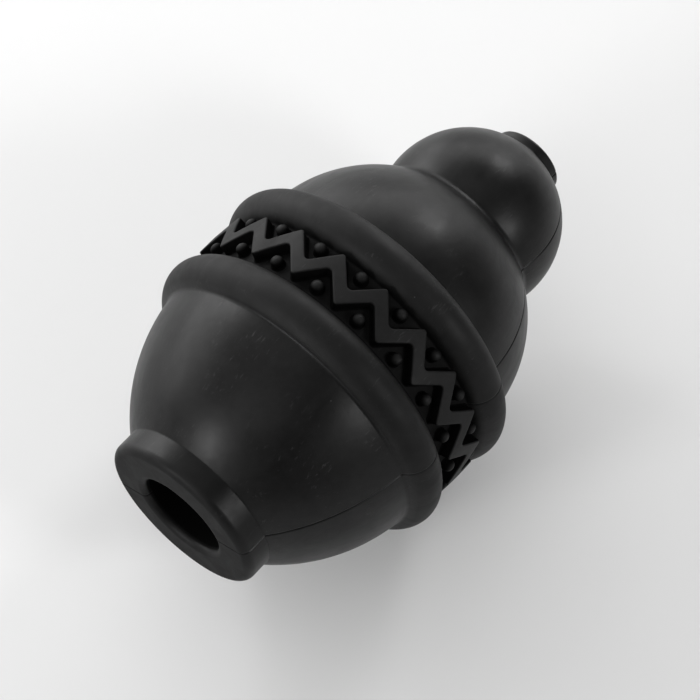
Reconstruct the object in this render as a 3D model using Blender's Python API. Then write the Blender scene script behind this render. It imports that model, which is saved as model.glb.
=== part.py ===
"""Hollow rubber chew toy, lying on its side on its two rings.

Its axis runs along Y, with the open mouth at -Y and the end knob at +Y. A station is a
distance along the axis from the mouth face, and a radius is a distance from the axis.
The toy is one moulding, built as named sections that stop at its own creases, with a thin
gap between neighbours. The origin is below its middle, on the ground. Metres, +Z up.
"""

import math

import bmesh
import bpy
from mathutils import Matrix, Vector

MM = 0.001
GAP = 0.3 * MM                   # clearance between neighbouring sections
SEGMENTS = 40                    # facets round the toy

LENGTH = 130.0 * MM              # mouth face to end knob
RING_RADIUS = 42.0 * MM          # outside of both rings, the widest place

MOUTH_RADIUS = 21.5 * MM         # side of the mouth collar
MOUTH_EDGE = 2.2 * MM            # rounding of the collar's front edge
COLLAR_END = 7.3 * MM            # crease between collar and bulb
BORE_RADIUS = 11.3 * MM
BORE_EDGE = 1.7 * MM             # rounding of the bore's rim

BULB_CENTRE = (43.5 * MM, -10.3 * MM)   # station and radius of the bulb arc's centre
BULB_ARC = 48.5 * MM
DOME_CENTRE = (70.1 * MM, 0.0)
DOME_ARC = 36.7 * MM
BALL_CENTRE = (105.8 * MM, 0.0)
BALL_ARC = 23.2 * MM
WAIST_FILLET = 2.0 * MM          # hollow rounding between dome and ball

BAND_MIDDLE = 54.0 * MM          # station of the relief band's middle
RING_OFFSET = 11.8 * MM          # from the band's middle to each ring's middle
RING_ARC = 5.5 * MM              # rounding of a ring's section
BAND_RADIUS = 37.6 * MM          # floor of the relief band
RELIEF_MIDDLE = 54.25 * MM       # station of the zigzag's middle
RELIEF_RADIUS = 40.55 * MM       # top of the zigzag
STUD_TOP_RADIUS = 40.2 * MM
STUD_RADIUS = 1.55 * MM
STUD_OFFSET = 4.1 * MM           # from the zigzag's middle to each row of studs
ZIGZAG_PERIODS = 20
ZIGZAG_WIDTH = 3.3 * MM
ZIGZAG_SWING = 3.45 * MM         # from its middle to its centre line at a peak
ZIGZAG_STEPS = 2                 # lengths that each arm of the zigzag is bent in
PARTING_ANGLE = math.radians(71)        # mould line, from the top towards +X

KNOB_RADIUS = 9.4 * MM
KNOB_EDGE = 0.9 * MM             # rounding of the knob's edge
VENT_RADIUS = 2.0 * MM

NECK_END = 12.0 * MM             # where the bore starts to widen into the hollow
HOLLOW_RADIUS = 24.0 * MM
HOLLOW_END = 97.0 * MM

RUBBER = (0.013, 0.013, 0.014)
RELIEF_RUBBER = (0.017, 0.017, 0.018)

RING_CENTRE_RADIUS = RING_RADIUS - RING_ARC
LOWER_RING = BAND_MIDDLE - RING_OFFSET
UPPER_RING = BAND_MIDDLE + RING_OFFSET


def arc_radius(station, centre, arc):
    """Radius of an outward arc at a station."""
    return centre[1] + math.sqrt(arc ** 2 - (station - centre[0]) ** 2)


def ring_angle(radius):
    """Angle along a ring's section at which it stands at the given radius."""
    return math.asin((radius - RING_CENTRE_RADIUS) / RING_ARC)


def crease_before_ring():
    """Station where the bulb runs into the lower ring."""
    station = LOWER_RING - RING_ARC
    for _ in range(8):
        bulb = arc_radius(station, BULB_CENTRE, BULB_ARC)
        station = LOWER_RING - RING_ARC * math.cos(ring_angle(bulb))
    return station


def knob_start():
    """Station where the ball's surface meets the side of the knob."""
    return BALL_CENTRE[0] + math.sqrt(BALL_ARC ** 2 - KNOB_RADIUS ** 2)


def waist_fillet():
    """Centre of the hollow rounding, and the stations where it meets dome and ball."""
    span = BALL_CENTRE[0] - DOME_CENTRE[0]
    to_dome = DOME_ARC + WAIST_FILLET
    to_ball = BALL_ARC + WAIST_FILLET
    along = (span ** 2 + to_dome ** 2 - to_ball ** 2) / (2 * span)
    centre = (DOME_CENTRE[0] + along, math.sqrt(to_dome ** 2 - along ** 2))
    dome_end = DOME_CENTRE[0] + along * DOME_ARC / to_dome
    ball_start = BALL_CENTRE[0] - (span - along) * BALL_ARC / to_ball
    return centre, dome_end, ball_start


CREASE = crease_before_ring()
BAND_HALF = RING_OFFSET - RING_ARC * math.cos(ring_angle(BAND_RADIUS))
BAND_START = BAND_MIDDLE - BAND_HALF
BAND_END = BAND_MIDDLE + BAND_HALF
DOME_START = UPPER_RING + RING_ARC
KNOB_START = knob_start()
WAIST_CENTRE, DOME_END, BALL_START = waist_fillet()


def hollow_radius(station):
    """Radius of the hollow: a straight bore, a widening, then a round end with a vent."""
    if station <= NECK_END:
        return BORE_RADIUS
    if station <= BAND_MIDDLE:
        share = (station - NECK_END) / (BAND_MIDDLE - NECK_END)
        return BORE_RADIUS + (HOLLOW_RADIUS - BORE_RADIUS) * math.sin(share * math.pi / 2)
    share = min(1.0, (station - BAND_MIDDLE) / (HOLLOW_END - BAND_MIDDLE))
    return max(VENT_RADIUS, HOLLOW_RADIUS * math.sqrt(1 - share ** 2))


def stations(start, end, steps):
    """Evenly spaced stations, both ends included."""
    return [start + (end - start) * step / steps for step in range(steps + 1)]


def quarter(corner, radius, start, steps=3):
    """Points round a rounded corner, a quarter turn on from the start angle."""
    angles = [start + math.pi / 2 * step / steps for step in range(steps + 1)]
    return [(corner[0] - radius * math.cos(a), corner[1] + radius * math.sin(a)) for a in angles]


def along_arc(start, end, centre, arc, steps):
    """Points along an outward arc, spaced evenly in angle."""
    first = math.acos((centre[0] - start) / arc)
    last = math.acos((centre[0] - end) / arc)
    angles = [first + (last - first) * step / steps for step in range(steps + 1)]
    return [(centre[0] - arc * math.cos(a), centre[1] + arc * math.sin(a)) for a in angles]


def along_ring(middle, start_radius, end_radius, steps=10):
    """Points over a ring's rounded section, from one side to the other."""
    start = ring_angle(start_radius)
    end = math.pi - ring_angle(end_radius)
    angles = [start + (end - start) * step / steps for step in range(steps + 1)]
    centre = RING_CENTRE_RADIUS
    return [(middle - RING_ARC * math.cos(a), centre + RING_ARC * math.sin(a)) for a in angles]


def inner_wall(start, end, steps):
    """Points along the hollow, from the far end back to the near one."""
    return [(station, hollow_radius(station)) for station in reversed(stations(start, end, steps))]


def trimmed(outline, start, end):
    """The outline with its ends drawn in by half a gap, so that neighbours never touch."""
    low = start + GAP / 2
    high = end - GAP / 2
    return [(min(max(station, low), high), radius) for station, radius in outline]


def material(name, colour):
    """Matt black rubber."""
    rubber = bpy.data.materials.new(name)
    rubber.use_nodes = True
    shader = rubber.node_tree.nodes["Principled BSDF"]
    shader.inputs["Base Color"].default_value = (*colour, 1)
    shader.inputs["Roughness"].default_value = 0.45
    shader.inputs["Metallic"].default_value = 0
    return rubber


def new_object(name, bm, colour):
    """Put a finished bmesh into the scene as a named object with its own rubber."""
    bmesh.ops.recalc_face_normals(bm, faces=bm.faces)
    mesh = bpy.data.meshes.new(name)
    bm.to_mesh(mesh)
    bm.free()
    mesh.shade_smooth()
    mesh.set_sharp_from_angle(angle=math.radians(35))
    mesh.materials.append(material(name + "_rubber", colour))
    section = bpy.data.objects.new(name, mesh)
    bpy.context.collection.objects.link(section)
    return section


def turned(name, outline, colour=RUBBER):
    """Turn a closed outline of (station, radius) points once round the toy's axis."""
    bm = bmesh.new()
    axis_point = Vector((0, 0, RING_RADIUS))
    corners = [bm.verts.new((0, station - LENGTH / 2, RING_RADIUS + r)) for station, r in outline]
    edges = [bm.edges.new((a, b)) for a, b in zip(corners, corners[1:] + corners[:1])]
    bmesh.ops.spin(
        bm,
        geom=corners + edges,
        cent=axis_point,
        axis=(0, 1, 0),
        angle=2 * math.pi,
        steps=SEGMENTS,
        use_merge=True,
    )
    return new_object(name, bm, colour)


def around(angle, station, radius):
    """Point at an angle from the top towards +X, a station and a radius."""
    x = radius * math.sin(angle)
    z = RING_RADIUS + radius * math.cos(angle)
    return Vector((x, station - LENGTH / 2, z))


def mouth_collar():
    """Thick collar with a flat front face, a rounded edge and the bore."""
    front = quarter((MOUTH_EDGE, MOUTH_RADIUS - MOUTH_EDGE), MOUTH_EDGE, 0)
    crease = (COLLAR_END, arc_radius(COLLAR_END, BULB_CENTRE, BULB_ARC))
    rim = quarter((BORE_EDGE, BORE_RADIUS + BORE_EDGE), BORE_EDGE, -math.pi / 2)
    outline = front + [crease, (COLLAR_END, BORE_RADIUS)] + rim
    outline = [(min(station, COLLAR_END - GAP / 2), radius) for station, radius in outline]
    return turned("mouth_collar", outline)


def lower_bulb():
    """Barrel-shaped wall between the collar and the lower ring."""
    outer = along_arc(COLLAR_END, CREASE, BULB_CENTRE, BULB_ARC, 9)
    outline = outer + inner_wall(COLLAR_END, CREASE, 5)
    return turned("lower_bulb", trimmed(outline, COLLAR_END, CREASE))


def lower_ring():
    """Rounded ring on the mouth side of the relief band."""
    bulb = arc_radius(CREASE, BULB_CENTRE, BULB_ARC)
    outline = along_ring(LOWER_RING, bulb, BAND_RADIUS) + inner_wall(CREASE, BAND_START, 2)
    return turned("lower_ring", trimmed(outline, CREASE, BAND_START))


def stud_set():
    """Both rows of round-topped studs, as a guide that the band is joined with."""
    bm = bmesh.new()
    foot = BAND_RADIUS - 1.0 * MM
    pitch = 2 * math.pi / ZIGZAG_PERIODS
    for row in (-1, 1):
        turn = 0 if row < 0 else pitch / 2
        for number in range(ZIGZAG_PERIODS):
            angle = PARTING_ANGLE + turn + number * pitch
            middle = around(angle, RELIEF_MIDDLE + row * STUD_OFFSET, (foot + STUD_TOP_RADIUS) / 2)
            place = Matrix.Translation(middle) @ Matrix.Rotation(angle, 4, "Y")
            bmesh.ops.create_cone(
                bm,
                cap_ends=True,
                segments=8,
                radius1=STUD_RADIUS,
                radius2=STUD_RADIUS * 0.7,
                depth=STUD_TOP_RADIUS - foot,
                matrix=place,
            )
    studs = new_object("stud_guide", bm, RELIEF_RUBBER)
    studs.hide_render = True
    studs.display_type = "WIRE"
    return studs


def relief_band():
    """Sunk band between the rings, with its two rows of studs."""
    outer = [(BAND_START, BAND_RADIUS), (BAND_END, BAND_RADIUS)]
    outline = outer + inner_wall(BAND_START, BAND_END, 2)
    band = turned("relief_band", trimmed(outline, BAND_START, BAND_END), RELIEF_RUBBER)
    union = band.modifiers.new("studs", "BOOLEAN")
    union.operation = "UNION"
    union.object = stud_set()
    return band


def zigzag_rib():
    """Flat-topped zigzag that runs round the band between the studs."""
    pitch = 2 * math.pi / ZIGZAG_PERIODS
    arm_run = RELIEF_RADIUS * pitch / 2
    arm_length = math.hypot(arm_run, 2 * ZIGZAG_SWING)
    half = ZIGZAG_WIDTH / 2 * arm_length / arm_run
    foot = BAND_RADIUS + GAP
    bm = bmesh.new()
    loops = []
    for step in range(2 * ZIGZAG_STEPS * ZIGZAG_PERIODS):
        angle = PARTING_ANGLE + step * pitch / (2 * ZIGZAG_STEPS)
        fold = abs(step % (2 * ZIGZAG_STEPS) - ZIGZAG_STEPS) / ZIGZAG_STEPS
        middle = RELIEF_MIDDLE + ZIGZAG_SWING * (2 * fold - 1)
        corners = [
            around(angle, middle - half, foot),
            around(angle, middle + half, foot),
            around(angle, middle + half, RELIEF_RADIUS),
            around(angle, middle - half, RELIEF_RADIUS),
        ]
        loops.append([bm.verts.new(corner) for corner in corners])
    for loop, following in zip(loops, loops[1:] + loops[:1]):
        for side in range(4):
            onward = (side + 1) % 4
            bm.faces.new((loop[side], loop[onward], following[onward], following[side]))
    return new_object("zigzag_rib", bm, RELIEF_RUBBER)


def upper_ring():
    """Rounded ring on the dome side of the relief band."""
    outline = along_ring(UPPER_RING, BAND_RADIUS, RING_CENTRE_RADIUS)
    outline += inner_wall(BAND_END, DOME_START, 2)
    return turned("upper_ring", trimmed(outline, BAND_END, DOME_START))


def upper_dome():
    """Dome from the upper ring in to the waist."""
    outer = along_arc(DOME_START, DOME_END, DOME_CENTRE, DOME_ARC, 9)
    waist = (WAIST_CENTRE[0], WAIST_CENTRE[1] - WAIST_FILLET)
    outline = outer + [waist] + inner_wall(DOME_START, waist[0], 7)
    return turned("upper_dome", trimmed(outline, DOME_START, waist[0]))


def end_ball():
    """Ball beyond the waist, with the vent along its axis."""
    waist = (WAIST_CENTRE[0], WAIST_CENTRE[1] - WAIST_FILLET)
    outer = [waist] + along_arc(BALL_START, KNOB_START, BALL_CENTRE, BALL_ARC, 11)
    outline = outer + inner_wall(waist[0], KNOB_START, 1)
    return turned("end_ball", trimmed(outline, waist[0], KNOB_START))


def end_knob():
    """Short round knob on the end of the ball, with the vent's mouth."""
    edge = quarter((LENGTH - KNOB_EDGE, KNOB_RADIUS - KNOB_EDGE), KNOB_EDGE, math.pi / 2)
    foot = KNOB_START + GAP / 2
    outline = [(foot, KNOB_RADIUS)] + edge + [(LENGTH, VENT_RADIUS), (foot, VENT_RADIUS)]
    return turned("end_knob", outline)


def main():
    for leftover in list(bpy.data.objects):
        bpy.data.objects.remove(leftover, do_unlink=True)
    mouth_collar()
    lower_bulb()
    lower_ring()
    relief_band()
    zigzag_rib()
    upper_ring()
    upper_dome()
    end_ball()
    end_knob()


main()
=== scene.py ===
"""Looks of the hollow rubber chew toy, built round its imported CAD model.

The toy lies along Y with its mouth at -Y. A station is a distance along the axis from the
mouth face, and a radius is a distance from the axis. MM is one millimetre of a toy 130 mm
long, so the sizes below follow the frame. Each CAD section gets a fine skin of its own.
"""
import math

import bmesh
import bpy
import numpy as np
from mathutils import Matrix, Vector


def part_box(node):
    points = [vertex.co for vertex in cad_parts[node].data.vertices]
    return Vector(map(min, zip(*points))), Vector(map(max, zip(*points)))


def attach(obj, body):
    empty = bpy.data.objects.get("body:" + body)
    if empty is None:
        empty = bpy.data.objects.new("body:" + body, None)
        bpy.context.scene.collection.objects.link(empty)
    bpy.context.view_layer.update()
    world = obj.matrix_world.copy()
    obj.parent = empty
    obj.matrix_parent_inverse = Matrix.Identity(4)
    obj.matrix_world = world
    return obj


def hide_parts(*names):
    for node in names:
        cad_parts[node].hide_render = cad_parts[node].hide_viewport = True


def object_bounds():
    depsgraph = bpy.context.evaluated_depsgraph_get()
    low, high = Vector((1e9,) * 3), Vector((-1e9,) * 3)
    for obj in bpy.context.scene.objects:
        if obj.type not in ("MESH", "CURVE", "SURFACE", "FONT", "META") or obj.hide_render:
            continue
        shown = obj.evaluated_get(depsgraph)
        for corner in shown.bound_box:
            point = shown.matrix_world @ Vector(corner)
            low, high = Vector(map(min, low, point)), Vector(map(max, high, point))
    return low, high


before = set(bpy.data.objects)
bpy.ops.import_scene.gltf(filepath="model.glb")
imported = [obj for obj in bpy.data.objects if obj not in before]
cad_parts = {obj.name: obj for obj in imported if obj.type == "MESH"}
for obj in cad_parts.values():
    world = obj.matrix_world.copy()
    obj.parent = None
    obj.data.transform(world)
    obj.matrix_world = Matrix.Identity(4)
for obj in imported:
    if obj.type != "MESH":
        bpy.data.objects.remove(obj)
cad_low, cad_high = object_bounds()

MM = (cad_high.y - cad_low.y) / 130.0
FRONT = cad_low.y
AXIS_HEIGHT = (cad_low.z + cad_high.z) / 2


def station_between(node, following):
    """Station of the cut between two neighbouring CAD sections."""
    return (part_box(node)[1].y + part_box(following)[0].y) / 2 - FRONT


def node_radius(node):
    """Largest radius of a CAD section."""
    low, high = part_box(node)
    return (high.x - low.x) / 2


# Outline, from the mouth to the end knob.
LENGTH = cad_high.y - cad_low.y
RING_RADIUS = node_radius("lower_ring")
MOUTH_RADIUS = 21.5 * MM
MOUTH_EDGE = 2.2 * MM            # rounding of the collar's front edge
BORE_RADIUS = 11.3 * MM
BORE_EDGE = 1.7 * MM             # rounding of the bore's rim
BULB = (43.5 * MM, -10.3 * MM, 48.5 * MM)       # station, radius and size of an outward arc
DOME = (70.1 * MM, 0.0, 36.7 * MM)
BALL = (105.8 * MM, 0.0, node_radius("end_ball"))
RING_ARC = 5.5 * MM
BAND_MIDDLE = station_between("lower_ring", "relief_band") / 2
BAND_MIDDLE += station_between("relief_band", "upper_ring") / 2
RING_OFFSET = 11.8 * MM
BAND_RADIUS = 37.6 * MM          # floor of the relief band
KNOB_RADIUS = node_radius("end_knob")
KNOB_EDGE = 0.9 * MM
VENT_RADIUS = 2.0 * MM
VENT_EDGE = 0.5 * MM
NECK_END = 12.0 * MM
HOLLOW_RADIUS = 24.0 * MM
HOLLOW_END = 97.0 * MM

# Hollow rounding where each section meets the next one.
CORNERS = {
    "mouth_collar": 0.5 * MM,
    "lower_bulb": 1.0 * MM,
    "lower_ring": 0.6 * MM,
    "relief_band": 0.6 * MM,
    "upper_ring": 0.7 * MM,
    "upper_dome": 2.0 * MM,
    "end_ball": 0.6 * MM,
}

# Relief on the band.
ZIGZAG_PERIODS = 20
RELIEF_RADIUS = node_radius("zigzag_rib")
RELIEF_MIDDLE = (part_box("zigzag_rib")[0].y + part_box("zigzag_rib")[1].y) / 2 - FRONT
RIB_HALF_WIDTH = 1.65 * MM
RIB_SWING = 3.45 * MM            # from the rib's middle to its centre line at a peak
RIB_DRAFT = 0.12 * MM            # how much wider the rib is at its foot
RIB_EDGE = 0.40 * MM             # rounding along the rib's top edges
RIB_FOOT = 0.40 * MM             # hollow rounding where the rib meets the floor
RIB_OUTER_CORNER = 0.8 * MM
RIB_INNER_CORNER = 1.15 * MM
STUD_RADIUS = 1.55 * MM
STUD_HEIGHT = 2.6 * MM
STUD_SIDE = 1.45 * MM            # height at which a stud's round top begins
STUD_CROWN = 0.97 * STUD_RADIUS  # radius where the round top begins
STUD_FOOT = 0.30 * MM            # hollow rounding where a stud meets the floor
STUD_OFFSET = 4.1 * MM

# Mould line: a fine groove in one plane through the axis.
PARTING_ANGLE = math.radians(71)
PARTING_DEPTH = 0.18 * MM
PARTING_WIDTH = 0.20 * MM

# Fineness of the skin.
COLUMNS = 150                    # strips round each half of the toy
LINE_COLUMNS = 10                # extra strips on each side of the mould line
LINE_SPREAD = math.radians(2.4)
STEP_LENGTH = 0.7 * MM
STEP_ANGLE = math.radians(4)
SHARP_ANGLE = math.radians(40)   # edges sharper than this are not smoothed over
RIB_EDGE_STEPS = 6
STUD_FOOT_STEPS = 4
STUD_CROWN_STEPS = 10
FLAT = 10000 * MM                # size of the arc that stands for a straight side

# Painted shade on each part, from 0 in the open to 1 deep inside, which darkens the colour and the
# reflectance where shade falls.
BAND_PAINTED_SHADE = 0.6               # band floor
FACE_PAINTED_SHADE = 0.35              # flat mouth face
WALL_PAINTED_SHADE = 1.0               # sides of the rib and studs
MATTE_RAMP = 1.2 * MM            # width of the change to dull on each ring's outer side


# ---------------------------------------------------------------- outline

def level(station, radius):
    """A straight side at the given radius, as a very large outward arc."""
    return (station, radius - FLAT, FLAT)


def hollow_corner(first, second, size):
    """Hollow rounding between two outward arcs: its centre and its two touching points."""
    a = Vector(first[:2])
    b = Vector(second[:2])
    to_first = first[2] + size
    to_second = second[2] + size
    span = (b - a).length
    along = (span ** 2 + to_first ** 2 - to_second ** 2) / (2 * span)
    direction = (b - a) / span
    upward = Vector((-direction.y, direction.x))
    centre = a + direction * along + upward * math.sqrt(to_first ** 2 - along ** 2)
    touch_first = a + (centre - a) * first[2] / to_first
    touch_second = b + (centre - b) * second[2] / to_second
    return centre, touch_first, touch_second


def steps_for(size, turn):
    """How many steps a rounded stretch needs."""
    return max(2, math.ceil(abs(turn) * size / STEP_LENGTH), math.ceil(abs(turn) / STEP_ANGLE))


def outward_arc(arc, start, end):
    """Points from start to end over an outward arc, each with its outward direction."""
    centre = Vector(arc[:2])
    first = math.atan2(start.y - centre.y, start.x - centre.x)
    last = math.atan2(end.y - centre.y, end.x - centre.x)
    count = steps_for(arc[2], last - first)
    points = []
    for step in range(count + 1):
        angle = first + (last - first) * step / count
        out = Vector((math.cos(angle), math.sin(angle)))
        points.append((*(centre + out * arc[2]), *out))
    return points


def inward_arc(centre, size, start, end):
    """Points along a hollow rounding, each with the direction that faces its centre."""
    first = math.atan2(start.y - centre.y, start.x - centre.x)
    last = math.atan2(end.y - centre.y, end.x - centre.x)
    last += 2 * math.pi * round((first - last) / (2 * math.pi))
    count = steps_for(size, last - first)
    points = []
    for step in range(count + 1):
        angle = first + (last - first) * step / count
        out = Vector((math.cos(angle), math.sin(angle)))
        points.append((*(centre + out * size), *(-out)))
    return points


def quarter_round(centre, size, start):
    """Points over a quarter turn of an edge, turning clockwise from the start angle."""
    count = steps_for(size, math.pi / 2) + 3
    points = []
    for step in range(count + 1):
        angle = start - math.pi / 2 * step / count
        out = Vector((math.cos(angle), math.sin(angle)))
        points.append((*(Vector(centre) + out * size), *out))
    return points


def hollow_radius(station):
    """Radius of the hollow: a straight bore, a widening, then a round end with a vent."""
    if station <= NECK_END:
        return BORE_RADIUS
    if station <= BAND_MIDDLE:
        share = (station - NECK_END) / (BAND_MIDDLE - NECK_END)
        return BORE_RADIUS + (HOLLOW_RADIUS - BORE_RADIUS) * math.sin(share * math.pi / 2)
    share = min(1.0, (station - BAND_MIDDLE) / (HOLLOW_END - BAND_MIDDLE))
    return max(VENT_RADIUS, HOLLOW_RADIUS * math.sqrt(1 - share ** 2))


def inner_wall(start, end, count=24):
    """Points along the hollow, from the far end back to the near one."""
    stations = [end + (start - end) * step / count for step in range(count + 1)]
    return [(station, hollow_radius(station), 0, 0) for station in stations]


# ---------------------------------------------------------------- skins

def turn_angles():
    """Angles round the axis, close together on both sides of the mould line."""
    near = [LINE_SPREAD * (step / LINE_COLUMNS) ** 2 for step in range(LINE_COLUMNS)]
    rest = math.pi - 2 * LINE_SPREAD
    between = [LINE_SPREAD + rest * step / COLUMNS for step in range(COLUMNS)]
    far = [math.pi - LINE_SPREAD * (step / LINE_COLUMNS) ** 2 for step in range(LINE_COLUMNS, 0, -1)]
    half = near + between + far
    return np.array([PARTING_ANGLE + angle for angle in half + [a + math.pi for a in half]])


def mesh_piece(name, vertices, faces, material, node, painted_shade, matte):
    """Make a closed mesh with its surface values and let it stand for its CAD node."""
    mesh = bpy.data.meshes.new(name)
    mesh.from_pydata(vertices, [], faces)
    bm = bmesh.new()
    bm.from_mesh(mesh)
    bmesh.ops.recalc_face_normals(bm, faces=bm.faces)
    bm.to_mesh(mesh)
    bm.free()
    mesh.shade_smooth()
    mesh.set_sharp_from_angle(angle=SHARP_ANGLE)
    mesh.materials.append(material)
    # painted shade and matte values are stored on each vertex
    for label, values in (("painted_shade", painted_shade), ("matte", matte)):
        attribute = mesh.attributes.new(label, "FLOAT", "POINT")
        attribute.data.foreach_set("value", np.broadcast_to(values, len(vertices)).astype(float))
    piece = bpy.data.objects.new(name, mesh)
    bpy.context.scene.collection.objects.link(piece)
    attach(piece, "root")
    if node:
        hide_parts(node)
    return piece


def grid_faces(rows, columns):
    """Faces of a grid of vertices that closes on itself both ways."""
    faces = []
    for row in range(rows):
        upper = row * columns
        lower = (row + 1) % rows * columns
        for column in range(columns):
            onward = (column + 1) % columns
            faces.append((upper + column, upper + onward, lower + onward, lower + column))
    return faces


def on_mouth_face(station, out_along):
    """1 on the flat mouth face, falling to 0 over its rounded edges."""
    return np.clip(-out_along, 0, 1) ** 2 * (station < MOUTH_EDGE)


def painted_shade_at(station, radius, out_along, inside):
    """Painted shade on a turned surface: full in the hollow, partial on the band and face."""
    depth = np.clip((RELIEF_RADIUS - radius) / (RELIEF_RADIUS - BAND_RADIUS), 0, 1)
    between_rings = np.abs(station - BAND_MIDDLE) < RING_OFFSET
    open_side = BAND_PAINTED_SHADE * depth * between_rings
    open_side += FACE_PAINTED_SHADE * on_mouth_face(station, out_along)
    return np.where(inside, 1, open_side)


def matte_at(station, out_along):
    """How matte the surface is: the rings, the band and the mouth face are duller."""
    beyond = np.abs(station - BAND_MIDDLE) - RING_OFFSET - RING_ARC
    return np.clip(-beyond / MATTE_RAMP, 0, 1) + on_mouth_face(station, out_along)


def skin(node, outline, material):
    """Turn an outline about the axis, with the mould line sunk into its outer side.

    Each point of the outline has a station, a radius and an outward direction, which is
    nought along the hollow.
    """
    outline = np.array(outline)
    angles = turn_angles()
    station, radius, out_along, out_up = (column[:, None] for column in outline.T)
    from_line = radius * np.sin(angles - PARTING_ANGLE)
    sunk = PARTING_DEPTH * np.exp(-(from_line / PARTING_WIDTH) ** 2)
    station = station - sunk * out_along
    radius = radius - sunk * out_up
    x = radius * np.sin(angles)
    z = AXIS_HEIGHT + radius * np.cos(angles)
    y = FRONT + station + 0 * angles
    vertices = np.stack([x, y, z], axis=-1).reshape(-1, 3).tolist()
    columns = len(angles)
    faces = grid_faces(len(outline), columns)
    inside = (outline[:, 2] == 0) & (outline[:, 3] == 0)
    # painted shade: full inside the hollow, partial on the band floor and mouth face
    painted_shade = np.repeat(painted_shade_at(*outline.T[:3], inside), columns)
    matte = np.repeat(matte_at(outline[:, 0], outline[:, 2]), columns)
    mesh_piece(node + "_skin", vertices, faces, material, node, painted_shade, matte)


def toy_sections():
    """Outer outline of each section, cut in the middle of the hollow corners."""
    lower = BAND_MIDDLE - RING_OFFSET
    upper = BAND_MIDDLE + RING_OFFSET
    ring_centre = RING_RADIUS - RING_ARC
    collar_end = station_between("mouth_collar", "lower_bulb")
    knob_start = station_between("end_ball", "end_knob")
    features = [
        ("mouth_collar", level(collar_end / 2, MOUTH_RADIUS)),
        ("lower_bulb", BULB),
        ("lower_ring", (lower, ring_centre, RING_ARC)),
        ("relief_band", level(BAND_MIDDLE, BAND_RADIUS)),
        ("upper_ring", (upper, ring_centre, RING_ARC)),
        ("upper_dome", DOME),
        ("end_ball", BALL),
        ("end_knob", level(knob_start, KNOB_RADIUS)),
    ]
    outlines = {}
    start = Vector((MOUTH_EDGE, MOUTH_RADIUS))
    points = quarter_round((MOUTH_EDGE, MOUTH_RADIUS - MOUTH_EDGE), MOUTH_EDGE, math.pi)[:-1]
    for (name, arc), (_, following) in zip(features, features[1:]):
        centre, end, onward = hollow_corner(arc, following, CORNERS[name])
        points += outward_arc(arc, start, end)
        corner = inward_arc(centre, CORNERS[name], end, onward)
        middle = len(corner) // 2
        outlines[name] = points + corner[1:middle + 1]
        points = corner[middle:-1]
        start = onward
    knob_edge = (LENGTH - KNOB_EDGE, KNOB_RADIUS - KNOB_EDGE)
    points += outward_arc(features[-1][1], start, Vector((knob_edge[0], KNOB_RADIUS)))[:-1]
    outlines["end_knob"] = points + quarter_round(knob_edge, KNOB_EDGE, math.pi / 2)
    return outlines


def radial_steps(station, start, end, out, count=16):
    """Points across a flat end face, from one radius to another."""
    return [(station, start + (end - start) * step / count, out, 0) for step in range(1, count)]


def make_skins(material):
    """A closed skin for every turned section."""
    outlines = toy_sections()
    for node, outer in outlines.items():
        start = outer[0][0]
        end = outer[-1][0]
        if node == "mouth_collar":
            rim = quarter_round((BORE_EDGE, BORE_RADIUS + BORE_EDGE), BORE_EDGE, -math.pi / 2)
            face = radial_steps(0, BORE_RADIUS + BORE_EDGE, MOUTH_RADIUS - MOUTH_EDGE, -1)
            outline = inner_wall(BORE_EDGE, end, 10)[:-1] + rim + face + outer
        elif node == "end_knob":
            flat_start = KNOB_RADIUS - KNOB_EDGE
            face = radial_steps(LENGTH, flat_start, VENT_RADIUS + VENT_EDGE, 1)
            rim = quarter_round((LENGTH - VENT_EDGE, VENT_RADIUS + VENT_EDGE), VENT_EDGE, 0)
            outline = outer + face + rim + [(start, VENT_RADIUS, 0, 0)]
        else:
            outline = outer + inner_wall(start, end)
        skin(node, outline, material)


# ---------------------------------------------------------------- relief

def around(angle, station, radius):
    """Point at an angle from the top towards +X, a station and a radius."""
    x = radius * math.sin(angle)
    z = AXIS_HEIGHT + radius * math.cos(angle)
    return (x, FRONT + station, z)


def rib_section():
    """Half of the rib's section, from below the floor up to its top: (half width, height)."""
    foot = RIB_HALF_WIDTH + RIB_DRAFT
    top = RELIEF_RADIUS - BAND_RADIUS
    rows = [(foot + RIB_FOOT, -RIB_FOOT)]
    turns = [math.pi / 2 * step / RIB_EDGE_STEPS for step in range(RIB_EDGE_STEPS + 1)]
    for turn in turns:
        rows.append((foot + RIB_FOOT * (1 - math.sin(turn)), RIB_FOOT * (1 - math.cos(turn))))
    for turn in turns:
        width = RIB_HALF_WIDTH - RIB_EDGE * (1 - math.cos(turn))
        rows.append((width, top - RIB_EDGE * (1 - math.sin(turn))))
    return rows


def rib_edge(half_width, side, corner_steps=6, straight_steps=6):
    """One edge of the zigzag, laid out flat, with its corners rounded."""
    pitch = 2 * math.pi * RELIEF_RADIUS / ZIGZAG_PERIODS
    slope = math.atan2(2 * RIB_SWING, pitch / 2)
    wider = half_width - RIB_HALF_WIDTH
    corners = []
    for number in range(2 * ZIGZAG_PERIODS):
        peak = 1 if number % 2 == 0 else -1
        if peak == side:
            size = RIB_OUTER_CORNER + wider
            centre = RIB_SWING + (half_width - size) / math.cos(slope)
        else:
            size = RIB_INNER_CORNER - wider
            centre = RIB_SWING - (half_width + size) / math.cos(slope)
        turns = [slope * (2 * step / corner_steps - 1) for step in range(corner_steps + 1)]
        along = number * pitch / 2
        points = [(size * math.sin(turn), centre + size * math.cos(turn)) for turn in turns]
        corners.append([(along + forward, peak * across) for forward, across in points])
    edge = []
    for number, corner in enumerate(corners):
        following = corners[(number + 1) % len(corners)][0]
        wrap = pitch * ZIGZAG_PERIODS if number == len(corners) - 1 else 0
        ahead = (following[0] + wrap, following[1])
        here = corner[-1]
        edge += corner
        for step in range(1, straight_steps):
            share = step / straight_steps
            along = here[0] + (ahead[0] - here[0]) * share
            across = here[1] + (ahead[1] - here[1]) * share
            edge.append((along, across))
    return np.array(edge)


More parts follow.
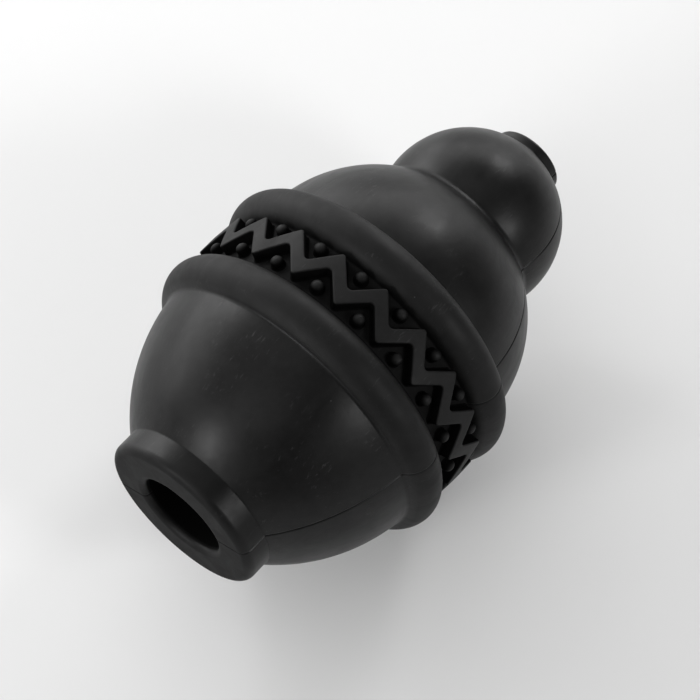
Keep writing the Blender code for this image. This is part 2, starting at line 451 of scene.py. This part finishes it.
def make_zigzag(material, top_strips=6):
    """The zigzag rib, swept round the band with rounded edges and a hollow foot."""
    section = rib_section()
    rows = [(rib_edge(width, 1), height) for width, height in section]
    top_height = section[-1][1]
    near, far = rows[-1][0], rib_edge(section[-1][0], -1)
    for step in range(1, top_strips):
        share = step / top_strips
        rows.append((near + (far - near) * share, top_height))
    rows += [(rib_edge(width, -1), height) for width, height in reversed(section)]
    vertices = []
    painted_shade = []
    for edge, height in rows:
        # painted shade on the rib's sides, fading out over its rounded top edge
        below_edge = (top_height - height) / RIB_EDGE
        painted_shade += [WALL_PAINTED_SHADE * min(1, max(0, below_edge))] * len(edge)
        for along, across in edge:
            angle = PARTING_ANGLE + along / RELIEF_RADIUS
            vertices.append(around(angle, RELIEF_MIDDLE + across, BAND_RADIUS + height))
    faces = grid_faces(len(rows), len(rows[0][0]))
    mesh_piece("zigzag_rib_skin", vertices, faces, material, "zigzag_rib", painted_shade, 1)


def stud_profile():
    """A stud's outline from below the floor up to its crown: (radius, height)."""
    rows = [(STUD_RADIUS + STUD_FOOT, -STUD_FOOT)]
    for step in range(STUD_FOOT_STEPS + 1):
        turn = math.pi / 2 * step / STUD_FOOT_STEPS
        radius = STUD_RADIUS + STUD_FOOT * (1 - math.sin(turn))
        rows.append((radius, STUD_FOOT * (1 - math.cos(turn))))
    rise = STUD_HEIGHT - STUD_SIDE
    for step in range(STUD_CROWN_STEPS):
        turn = math.pi / 2 * step / STUD_CROWN_STEPS
        rows.append((STUD_CROWN * math.cos(turn), STUD_SIDE + rise * math.sin(turn)))
    return rows


def make_studs(material, segments=28):
    """Both rows of round-topped studs, standing in the zigzag's corners."""
    profile = stud_profile()
    vertices = []
    faces = []
    painted_shade = []
    pitch = 2 * math.pi / ZIGZAG_PERIODS
    for row in (-1, 1):
        turn = 0 if row < 0 else pitch / 2
        for number in range(ZIGZAG_PERIODS):
            angle = PARTING_ANGLE + turn + number * pitch
            foot = Vector(around(angle, RELIEF_MIDDLE + row * STUD_OFFSET, BAND_RADIUS))
            place = Matrix.Translation(foot) @ Matrix.Rotation(angle, 4, "Y")
            first = len(vertices)
            for radius, height in profile:
                # painted shade on a stud's sides, fading out over its round top
                rise = (height - STUD_SIDE) / (STUD_HEIGHT - STUD_SIDE)
                painted_shade += [WALL_PAINTED_SHADE * (1 - min(1, max(0, rise)) ** 2)] * segments
                for segment in range(segments):
                    side = 2 * math.pi * segment / segments
                    point = (radius * math.cos(side), radius * math.sin(side), height)
                    vertices.append(tuple(place @ Vector(point)))
            crown = len(vertices)
            vertices.append(tuple(place @ Vector((0, 0, STUD_HEIGHT))))
            painted_shade.append(0)
            for ring in range(len(profile) - 1):
                lower = first + ring * segments
                for segment in range(segments):
                    onward = (segment + 1) % segments
                    upper = lower + segments
                    faces.append((lower + segment, lower + onward, upper + onward, upper + segment))
            last = first + (len(profile) - 1) * segments
            for segment in range(segments):
                faces.append((last + segment, last + (segment + 1) % segments, crown))
            faces.append(tuple(first + segment for segment in reversed(range(segments))))
    mesh_piece("band_studs", vertices, faces, material, None, painted_shade, 1)


# ---------------------------------------------------------------- materials

# Grey levels, roughness and reflectance of the rubber.
CLEAN_GREY = 0.003
WORN_GREY = 0.042                # scuffs and dust
CLOUD_SHARE = 0.06               # how far slow changes of tone go towards the worn grey
SCUFF_SHARE = 0.8
POLISH = (0.34, 0.46)            # roughness across the flow marks
MARK_ROUGHNESS = 0.10            # added on scuffs and dust
MATTE_ROUGHNESS = 0.18           # added on matte parts
# roughness added where shade is painted
PAINTED_SHADE_ROUGHNESS = 0.2          # added on sheltered parts
# reflectance in the open, and the low value deep in the painted shade
SHINE_AND_PAINTED_SHADE = (0.185, 0.008)           # reflectance in the open and deep inside
MOTTLE = (0.93, 1.07)            # soft uneven factor on the reflectance

# Sizes of the textures, in features per toy millimetre, and how they are stretched.
FLOW_SCALE = 0.16
FLOW_STRETCH = (1, 0.25, 1)
CLOUD_SCALE = 0.07
MOTTLE_SCALE = 0.4
GRAIN_SCALE = 1.8
SCUFF_SCALE = 1.6
SCUFF_STRETCH = (1, 0.14, 0.6)
SCUFF_PATCH_SCALE = 0.11
SPECK_SCALE = 0.16
SPECK_EDGE = (0.016, 0.026)      # where a speck starts and stops fading, in cells
SPECK_CHOICE = 0.55              # cells with a lower random value have no speck

# Depth and strength of the bumps.
FLOW_BUMP = (0.25 * MM, 0.2)
SCUFF_BUMP = (0.05 * MM, 0.5)
GRAIN_BUMP = (0.025 * MM, 0.45)

FLOOR_GREY = 0.67
FLOOR_GLOW = 0.02                # faint light of its own, which keeps the floor pale


def grey(level):
    """A neutral colour."""
    return (level, level, level, 1)


class Nodes:
    """A short way to add nodes to a material and join them."""

    def __init__(self, name):
        self.material = bpy.data.materials.new(name)
        self.material.use_nodes = True
        self.tree = self.material.node_tree
        self.shader = self.tree.nodes["Principled BSDF"]

    def add(self, kind, **settings):
        node = self.tree.nodes.new(kind)
        for name, value in settings.items():
            setattr(node, name, value)
        return node

    def join(self, source, target):
        self.tree.links.new(source, target)

    def place(self, scale=(1, 1, 1)):
        """Position in the toy's own frame, in toy millimetres, stretched by scale."""
        coordinates = self.add("ShaderNodeTexCoord")
        mapping = self.add("ShaderNodeMapping")
        mapping.inputs["Scale"].default_value = [factor / MM for factor in scale]
        self.join(coordinates.outputs["Object"], mapping.inputs["Vector"])
        return mapping.outputs["Vector"]

    def noise(self, position, scale, detail=3, roughness=0.5, distortion=0.0):
        node = self.add("ShaderNodeTexNoise")
        node.inputs["Scale"].default_value = scale
        node.inputs["Detail"].default_value = detail
        node.inputs["Roughness"].default_value = roughness
        node.inputs["Distortion"].default_value = distortion
        self.join(position, node.inputs["Vector"])
        return node.outputs["Fac"]

    def specks(self, position):
        """A sparse scatter of small round dots."""
        cells = self.add("ShaderNodeTexVoronoi")
        cells.inputs["Scale"].default_value = SPECK_SCALE
        self.join(position, cells.inputs["Vector"])
        dots = self.remap(cells.outputs["Distance"], *SPECK_EDGE, 1.0, 0.0)
        some = self.math("GREATER_THAN", cells.outputs["Color"], SPECK_CHOICE)
        return self.math("MULTIPLY", dots, some)

    def remap(self, value, low, high, to_low, to_high):
        """Carry one range of values over to another, and clamp it there."""
        node = self.add("ShaderNodeMapRange")
        node.inputs["From Min"].default_value = low
        node.inputs["From Max"].default_value = high
        node.inputs["To Min"].default_value = to_low
        node.inputs["To Max"].default_value = to_high
        self.join(value, node.inputs["Value"])
        return node.outputs["Result"]

    def math(self, operation, first, second):
        """Combine two outputs, or an output and a number."""
        node = self.add("ShaderNodeMath", operation=operation)
        for value, socket in ((first, node.inputs[0]), (second, node.inputs[1])):
            if isinstance(value, (int, float)):
                socket.default_value = value
            else:
                self.join(value, socket)
        return node.outputs[0]

    def bump(self, height, distance, strength, normal=None):
        node = self.add("ShaderNodeBump")
        node.inputs["Distance"].default_value = distance
        node.inputs["Strength"].default_value = strength
        self.join(height, node.inputs["Height"])
        if normal:
            self.join(normal, node.inputs["Normal"])
        return node.outputs["Normal"]


def rubber_material():
    """Satin black moulded rubber with flow marks, mottling, a grain, scuffs, dust and painted shade
    in its recesses.
    """
    nodes = Nodes("black_rubber")
    shader = nodes.shader
    place = nodes.place()
    # painted shade in the recesses and on the mouth face, read from each vertex
    painted_shade = nodes.add("ShaderNodeAttribute", attribute_name="painted_shade").outputs["Fac"]
    matte = nodes.add("ShaderNodeAttribute", attribute_name="matte").outputs["Fac"]

    flow_place = nodes.place(FLOW_STRETCH)
    flow = nodes.noise(flow_place, FLOW_SCALE, detail=6, roughness=0.6, distortion=0.8)
    grain = nodes.noise(place, GRAIN_SCALE, detail=3, roughness=0.65)
    streaks = nodes.noise(nodes.place(SCUFF_STRETCH), SCUFF_SCALE, detail=5, roughness=0.7)
    streaks = nodes.remap(streaks, 0.58, 0.76, 0.0, 1.0)
    patches = nodes.remap(nodes.noise(place, SCUFF_PATCH_SCALE, detail=2), 0.50, 0.64, 0.0, 1.0)
    scuffs = nodes.math("MULTIPLY", streaks, patches)
    scuff_tone = nodes.math("MULTIPLY", scuffs, SCUFF_SHARE)
    marks = nodes.math("MAXIMUM", scuff_tone, nodes.specks(place))

    colour = nodes.add("ShaderNodeMix", data_type="RGBA")
    colour.inputs["A"].default_value = grey(CLEAN_GREY)
    colour.inputs["B"].default_value = grey(WORN_GREY)
    cloud = nodes.noise(place, CLOUD_SCALE, detail=3, roughness=0.6)
    wear_and_painted_shade = nodes.math("ADD", nodes.remap(cloud, 0.35, 0.65, 0.0, CLOUD_SHARE), marks)
    # painted shade: the worn grey is held back where shade is painted, so those parts stay darker
    wear_and_painted_shade = nodes.math("MULTIPLY", wear_and_painted_shade, nodes.remap(painted_shade, 0, 1, 1, 0))
    nodes.join(wear_and_painted_shade, colour.inputs["Factor"])
    nodes.join(colour.outputs["Result"], shader.inputs["Base Color"])

    rough = nodes.remap(flow, 0.3, 0.7, *POLISH)
    rough = nodes.math("ADD", rough, nodes.math("MULTIPLY", marks, MARK_ROUGHNESS))
    rough = nodes.math("ADD", rough, nodes.math("MULTIPLY", matte, MATTE_ROUGHNESS))
    rough = nodes.math("ADD", rough, nodes.math("MULTIPLY", painted_shade, PAINTED_SHADE_ROUGHNESS))
    nodes.join(rough, shader.inputs["Roughness"])

    mottle = nodes.noise(place, MOTTLE_SCALE, detail=5, roughness=0.65)
    mottle = nodes.remap(mottle, 0.35, 0.65, *MOTTLE)
    # painted shade: the reflectance falls towards almost none where shade is painted
    shine_and_painted_shade = nodes.math("MULTIPLY", nodes.remap(painted_shade, 0, 1, *SHINE_AND_PAINTED_SHADE), mottle)
    nodes.join(shine_and_painted_shade, shader.inputs["Specular IOR Level"])

    normal = nodes.bump(flow, *FLOW_BUMP)
    normal = nodes.bump(scuffs, *SCUFF_BUMP, normal)
    normal = nodes.bump(grain, *GRAIN_BUMP, normal)
    nodes.join(normal, shader.inputs["Normal"])
    shader.inputs["Metallic"].default_value = 0
    return nodes.material


def floor_material():
    """Plain pale studio floor."""
    nodes = Nodes("pale_floor")
    shader = nodes.shader
    shader.inputs["Base Color"].default_value = grey(FLOOR_GREY)
    shader.inputs["Roughness"].default_value = 0.9
    shader.inputs["Specular IOR Level"].default_value = 0.1
    shader.inputs["Emission Color"].default_value = grey(1)
    shader.inputs["Emission Strength"].default_value = FLOOR_GLOW
    return nodes.material


# ---------------------------------------------------------------- stage

CAMERA_AZIMUTH = math.radians(40.2)
CAMERA_ELEVATION = math.radians(60.5)
CAMERA_LENS = 122.8              # millimetres, on the sensor below
SENSOR_WIDTH = 36.0
NEAREST = 0.01                   # metres from the camera at which it starts to see
MOUTH_FROM_CAMERA = (-39.2 * MM, -38.6 * MM, 549.1 * MM)     # right, up and forward

# Softboxes: azimuth from +Y towards +X and elevation in degrees, then distance from the
# toy, width and height in metres, then power in watts before LIGHT_SCALE.
SOFTBOXES = {
    "left_low": (-88, 9, 0.9, 1.3, 0.28, 3.3),
    "left_middle": (-88, 28, 0.9, 1.3, 0.36, 2.7),
    "left_spot": (-80, 28, 0.9, 0.2, 0.16, 1.2),
    "left_high": (-90, 60, 0.9, 0.9, 0.5, 0.8),
    "far_left": (-36, 25, 0.9, 0.45, 0.45, 1.7),
    "far_low": (-8, 9, 0.9, 0.55, 0.2, 0.7),
    "far_spot": (-5, 28, 0.9, 0.2, 0.16, 1.7),
    "near_left": (-150, 20, 0.9, 0.45, 0.4, 0.5),
    "near_low": (-175, 8, 0.9, 0.5, 0.2, 0.6),
    "near_high": (180, 55, 0.9, 0.6, 0.4, 0.9),
    "near_spot": (-166, 22, 0.9, 0.2, 0.16, 1.8),
    "right_broad": (85, 22, 0.9, 1.2, 0.5, 0.9),
    "right_spot": (82, 32, 0.9, 0.2, 0.16, 1.8),
    "top": (0, 85, 1.0, 0.6, 0.6, 0.9),
}
WORLD_STRENGTH = 0.027
LIGHT_SCALE = 1.35               # applied to every softbox
FLOOR_REACH = 4.0                # metres from the toy to the floor's edges


def make_floor():
    """Wide flat floor at ground level."""
    mesh = bpy.data.meshes.new("floor")
    bm = bmesh.new()
    bmesh.ops.create_grid(bm, x_segments=8, y_segments=8, size=FLOOR_REACH)
    bm.to_mesh(mesh)
    bm.free()
    mesh.materials.append(floor_material())
    floor = bpy.data.objects.new("floor", mesh)
    bpy.context.scene.collection.objects.link(floor)


def make_camera():
    """Camera that looks down on the mouth's side of the toy."""
    right = Vector((math.cos(CAMERA_AZIMUTH), math.sin(CAMERA_AZIMUTH), 0))
    level_forward = Vector((-math.sin(CAMERA_AZIMUTH), math.cos(CAMERA_AZIMUTH), 0))
    forward = level_forward * math.cos(CAMERA_ELEVATION)
    forward.z = -math.sin(CAMERA_ELEVATION)
    up = right.cross(forward)
    mouth = Vector((0, FRONT, AXIS_HEIGHT))
    to_right, to_up, to_mouth = MOUTH_FROM_CAMERA
    spot = mouth - right * to_right - up * to_up - forward * to_mouth
    data = bpy.data.cameras.new("camera")
    data.lens = CAMERA_LENS
    data.sensor_width = SENSOR_WIDTH
    data.clip_start = NEAREST
    camera = bpy.data.objects.new("camera", data)
    bpy.context.scene.collection.objects.link(camera)
    turn = Matrix((right, up, -forward)).transposed()
    camera.matrix_world = Matrix.Translation(spot) @ turn.to_4x4()
    bpy.context.scene.camera = camera


def make_lights():
    """Softboxes all round the toy, and a very faint even light."""
    middle = (cad_low + cad_high) / 2
    for name, (azimuth, elevation, distance, width, height, power) in SOFTBOXES.items():
        turn = math.radians(azimuth)
        rise = math.radians(elevation)
        level_out = Vector((math.sin(turn), math.cos(turn), 0))
        out = level_out * math.cos(rise) + Vector((0, 0, math.sin(rise)))
        data = bpy.data.lights.new(name, "AREA")
        data.shape = "RECTANGLE"
        data.size = width
        data.size_y = height
        data.energy = power * LIGHT_SCALE
        light = bpy.data.objects.new(name, data)
        light.location = middle + out * distance
        light.rotation_mode = "QUATERNION"
        light.rotation_quaternion = out.to_track_quat("Z", "Y")
        bpy.context.scene.collection.objects.link(light)
    world = bpy.data.worlds.new("studio")
    world.use_nodes = True
    background = world.node_tree.nodes["Background"]
    background.inputs["Color"].default_value = grey(1)
    background.inputs["Strength"].default_value = WORLD_STRENGTH
    bpy.context.scene.world = world
    bpy.context.scene.view_settings.view_transform = "Standard"


make_camera()
rubber = rubber_material()
make_skins(rubber)
make_zigzag(rubber)
make_studs(rubber)
make_floor()
make_lights()
